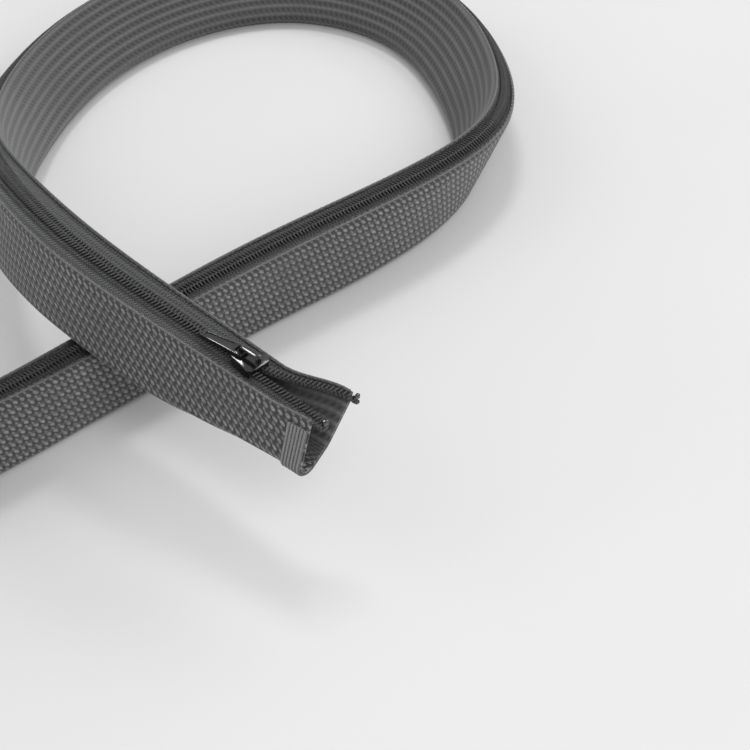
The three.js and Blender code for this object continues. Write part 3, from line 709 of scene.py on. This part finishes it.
def tooth_template():
    """One turn of the coil as seen from above: a rounded bar with a bulged head, in tooth axes."""
    stations = np.array([
        # n, half width along the zip, top, bottom
        [0.00, 0.22, 0.35, -0.30],
        [0.10, 0.42, 0.62, -0.55],
        [0.55, 0.50, 0.80, -0.65],
        [1.10, 0.36, 0.72, -0.60],
        [2.40, 0.34, 0.62, -0.60],
        [2.85, 0.30, 0.35, -0.55],
        [3.00, 0.16, 0.05, -0.45],
    ])
    ring = np.radians(np.arange(0, 360, 60))
    points = []
    for n, half, top, low in stations:
        for angle in ring:
            height = math.sin(angle) * ((top - low) / 2) + (top + low) / 2
            points.append((n, half * math.cos(angle), height))
    return np.array(points), ring_faces(len(stations), len(ring))


def zip_teeth(side, at_mouth, label, ahead):
    """The coil turns of one half, each turned a little the same way."""
    template, template_faces = tooth_template()
    count = int((SLEEVE_LENGTH - TEETH_REAR_MARGIN - TEETH_FRONT) / TOOTH_PITCH)
    shift = 0.0 if side > 0 else TOOTH_PITCH / 2
    first, last_room = 0.6, 0.4
    s = TEETH_FRONT + first + shift + np.arange(count) * TOOTH_PITCH
    s = s[s < SLEEVE_LENGTH - TEETH_REAR_MARGIN - last_room]
    s = s[s < SLIDER_AT] if ahead else s[s >= SLIDER_AT]
    f = Frames(s)
    offset = opening(s, at_mouth)
    lean, lean_about, overlap, rise = 0.16, 1.5, 0.42, 0.05
    # Spread of the turns' places across, along and up
    across_spread, along_spread, up_spread = 0.015, 0.02, 0.01
    points, faces = [], []
    for i in range(len(s)):
        n = side * (template[:, 0] - overlap + offset[i] + rng.normal(0, across_spread))
        ds = template[:, 1] + lean * (template[:, 0] - lean_about) + rng.normal(0, along_spread)
        d = template[:, 2] + rise + rng.normal(0, up_spread) + (f.lift[i] if side < 0 else 0.0)
        start = len(points) * len(template)
        points.append(f.place(i, np.column_stack([n, d])) + ds[:, None] * f.along[i])
        for face in template_faces:
            corners = tuple(start + c for c in face)
            faces.append(corners if side < 0 else corners[::-1])
    piece = make_object(f"coil_{label}", np.vstack(points) * MM, faces, None, TEETH)
    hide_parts(f"zip_teeth_{label}")
    return piece


def hem(start, node, label):
    """Band of overlocked ribs round the end."""
    rings_a_rib = 6
    s = start + np.linspace(0, HEM_WIDTH, HEM_RIBS * rings_a_rib + 1)
    f = Frames(s)
    around = 72
    points, uv = [], []
    for i in range(len(s)):
        share = (s[i] - start) / HEM_WIDTH
        rib = abs(math.sin(math.pi * share * HEM_RIBS)) ** 0.7 * HEM_RIB_HEIGHT
        outward = HEM_GROOVE_FACE + rib
        face, normals, v, _ = body_line(f, i, -outward, around, HEM_SETDOWN)
        wobble = 0.04 * np.sin(v * 2.2 + share * 9) + rng.normal(0, 0.012, len(v))
        face = face + normals * wobble[:, None]
        back, _, back_v, _ = body_line(f, i, -HEM_BACK_FACE, around, HEM_SETDOWN)
        points.append(f.place(i, np.vstack([face, back[::-1]])))
        across = np.concatenate([v, back_v[::-1]])
        uv.append(np.column_stack([np.full(len(across), s[i] - start), across]))
    faces = ring_faces(len(s), 2 * around + 2)
    piece = make_object(label, np.vstack(points) * MM, faces, "sleeve", HEM, uv=np.vstack(uv))
    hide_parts(node)


def edge_cord(side, label):
    """Round piping of packed threads where the braid folds over beside the tape."""
    margin, rings = 0.5, 700
    s = np.linspace(margin, SLEEVE_LENGTH - margin, rings)
    f = Frames(s)
    fold = fold_place(f, side)
    ring = unit(np.radians(np.arange(0, 360, 60)))
    radius = 0.42
    points = []
    for i in range(len(s)):
        height = FOLD_RADIUS * 0.88 + 0.06 * math.sin(s[i] * 2.1)
        centre = fold[i] + np.array([side * FOLD_RADIUS * 0.38, height])
        points.append(f.place(i, centre + radius * ring))
    faces = ring_faces(len(s), len(ring))
    make_object(f"fold_cord_{label}", np.vstack(points) * MM, faces, "sleeve", THREAD)


def stitches(side, label):
    """Short lockstitches that hold the tape under the lip."""
    pitch, length, radius, margin = 3.0, 2.2, 0.17, 2.0
    s = np.arange(margin, SLEEVE_LENGTH - margin, pitch)
    f = Frames(s)
    fold = fold_place(f, side)
    ring = unit(np.radians(np.arange(0, 360, 90)))
    # Share of the stitch's length from its middle, its size there and how far it rises
    profile = [
        (-0.5, 0.25, -0.16), (-0.3, 0.9, 0.02), (0.0, 1.0, 0.06), (0.3, 0.9, 0.02), (0.5, 0.25, -0.16)]
    points, faces = [], []
    for i in range(len(s)):
        start = len(points)
        n = fold[i, 0] - side * 0.28
        d = fold[i, 1] + FOLD_RADIUS + 0.06
        for share, size, rise in profile:
            for across, height in ring * radius * size:
                p = f.origin[i] + f.along[i] * share * length
                points.append(p + f.across[i] * (n + across) + f.up[i] * (d + rise + height))
        faces += [tuple(start + c for c in face) for face in ring_faces(len(profile), len(ring))]
    make_object(f"stitches_{label}", np.array(points) * MM, faces, "sleeve", THREAD)


def rounded_copy(node, width):
    """A CAD solid again with soft edges: a copy with its flat faces joined and its edges bevelled."""
    source = bpy.data.objects[node]
    mesh = source.data.copy()
    b = bmesh.new()
    b.from_mesh(mesh)
    bmesh.ops.remove_doubles(b, verts=b.verts, dist=1e-6)
    bmesh.ops.dissolve_limit(b, angle_limit=math.radians(1.5), verts=b.verts, edges=b.edges)
    b.to_mesh(mesh)
    b.free()
    mesh.materials.clear()
    mesh.materials.append(ENAMEL)
    piece = bpy.data.objects.new(f"{node}_finished", mesh)
    bpy.context.scene.collection.objects.link(piece)
    piece.matrix_world = source.matrix_world.copy()
    bevel = piece.modifiers.new("edges", "BEVEL")
    bevel.width = width
    bevel.segments = 2
    bevel.limit_method = "ANGLE"
    bevel.angle_limit = math.radians(28)
    bevel.harden_normals = True
    mesh.polygons.foreach_set("use_smooth", [True] * len(mesh.polygons))
    return piece


def metal_pieces():
    """Slider, puller and end stops with softened edges."""
    bodies = {"slider_body": "slider", "puller": "puller", "stop_outer": "sleeve",
              "stop_inner": "sleeve", "stop_rear": "sleeve"}
    for node, body in bodies.items():
        piece = rounded_copy(node, (PULLER_EDGE if node == "puller" else METAL_EDGE) * MM)
        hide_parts(node)
        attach(piece, body)


def camera():
    data = bpy.data.cameras.new("camera")
    data.sensor_width = SENSOR
    data.lens = FOCAL_PIXELS / FRAME_PIXELS * SENSOR
    data.shift_x = -CENTRE_OFFSET_PIXELS[0] / FRAME_PIXELS
    data.shift_y = CENTRE_OFFSET_PIXELS[1] / FRAME_PIXELS
    data.clip_start = 0.05
    data.clip_end = 50
    piece = bpy.data.objects.new("camera", data)
    bpy.context.scene.collection.objects.link(piece)
    right = Vector((math.cos(CAMERA_TURN), math.sin(CAMERA_TURN), 0))
    up = CAMERA_BACK.cross(right).normalized()
    right = up.cross(CAMERA_BACK).normalized()
    turn = Matrix((right, up, CAMERA_BACK)).transposed().to_4x4()
    piece.matrix_world = Matrix.Translation(Vector((CAMERA_AT + ROUTE_ORIGIN) * MM)) @ turn
    bpy.context.scene.camera = piece


def area_light(name, place, size, power):
    data = bpy.data.lights.new(name, "AREA")
    data.shape = "RECTANGLE"
    data.size, data.size_y = size
    data.energy = power
    piece = bpy.data.objects.new(name, data)
    bpy.context.scene.collection.objects.link(piece)
    piece.location = place
    piece.rotation_euler = (Vector(LIGHTS_AIM_AT) - Vector(place)).to_track_quat("-Z", "Y").to_euler()


def studio():
    corners = [(x * FLOOR_HALF, y * FLOOR_HALF, 0) for x, y in ((-1, -1), (1, -1), (1, 1), (-1, 1))]
    mesh = bpy.data.meshes.new("table_top")
    mesh.from_pydata(corners, [], [(0, 1, 2, 3)])
    mesh.materials.append(floor_material())
    floor = bpy.data.objects.new("table_top", mesh)
    bpy.context.scene.collection.objects.link(floor)
    world = bpy.data.worlds.new("studio")
    world.use_nodes = True
    world.node_tree.nodes["Background"].inputs["Color"].default_value = (1, 1, 1, 1)
    world.node_tree.nodes["Background"].inputs["Strength"].default_value = WORLD_STRENGTH
    bpy.context.scene.world = world
    for name, (place, size, power) in LIGHTS.items():
        area_light(name, place, size, power)


camera()
woven_wall()
for part_side, mouth_opening, part_tail, part_label in (
        (1, OUTER_OPENING, OUTER_TAIL, "outer"), (-1, INNER_OPENING, INNER_TAIL, "inner")):
    for is_ahead in (True, False):
        follow_slider(zip_tape(part_side, mouth_opening, part_tail, part_label, is_ahead), is_ahead)
        follow_slider(zip_teeth(part_side, mouth_opening, part_label, is_ahead), is_ahead)
        follow_slider(tape_stitches(part_side, mouth_opening, part_label, is_ahead), is_ahead)
    edge_cord(part_side, part_label)
    stitches(part_side, part_label)
hem(0.0, "hem_front", "stitched_hem_front")
hem(SLEEVE_LENGTH - HEM_WIDTH, "hem_rear", "stitched_hem_rear")
metal_pieces()
studio()

bpy.context.scene.view_settings.view_transform = "Standard"
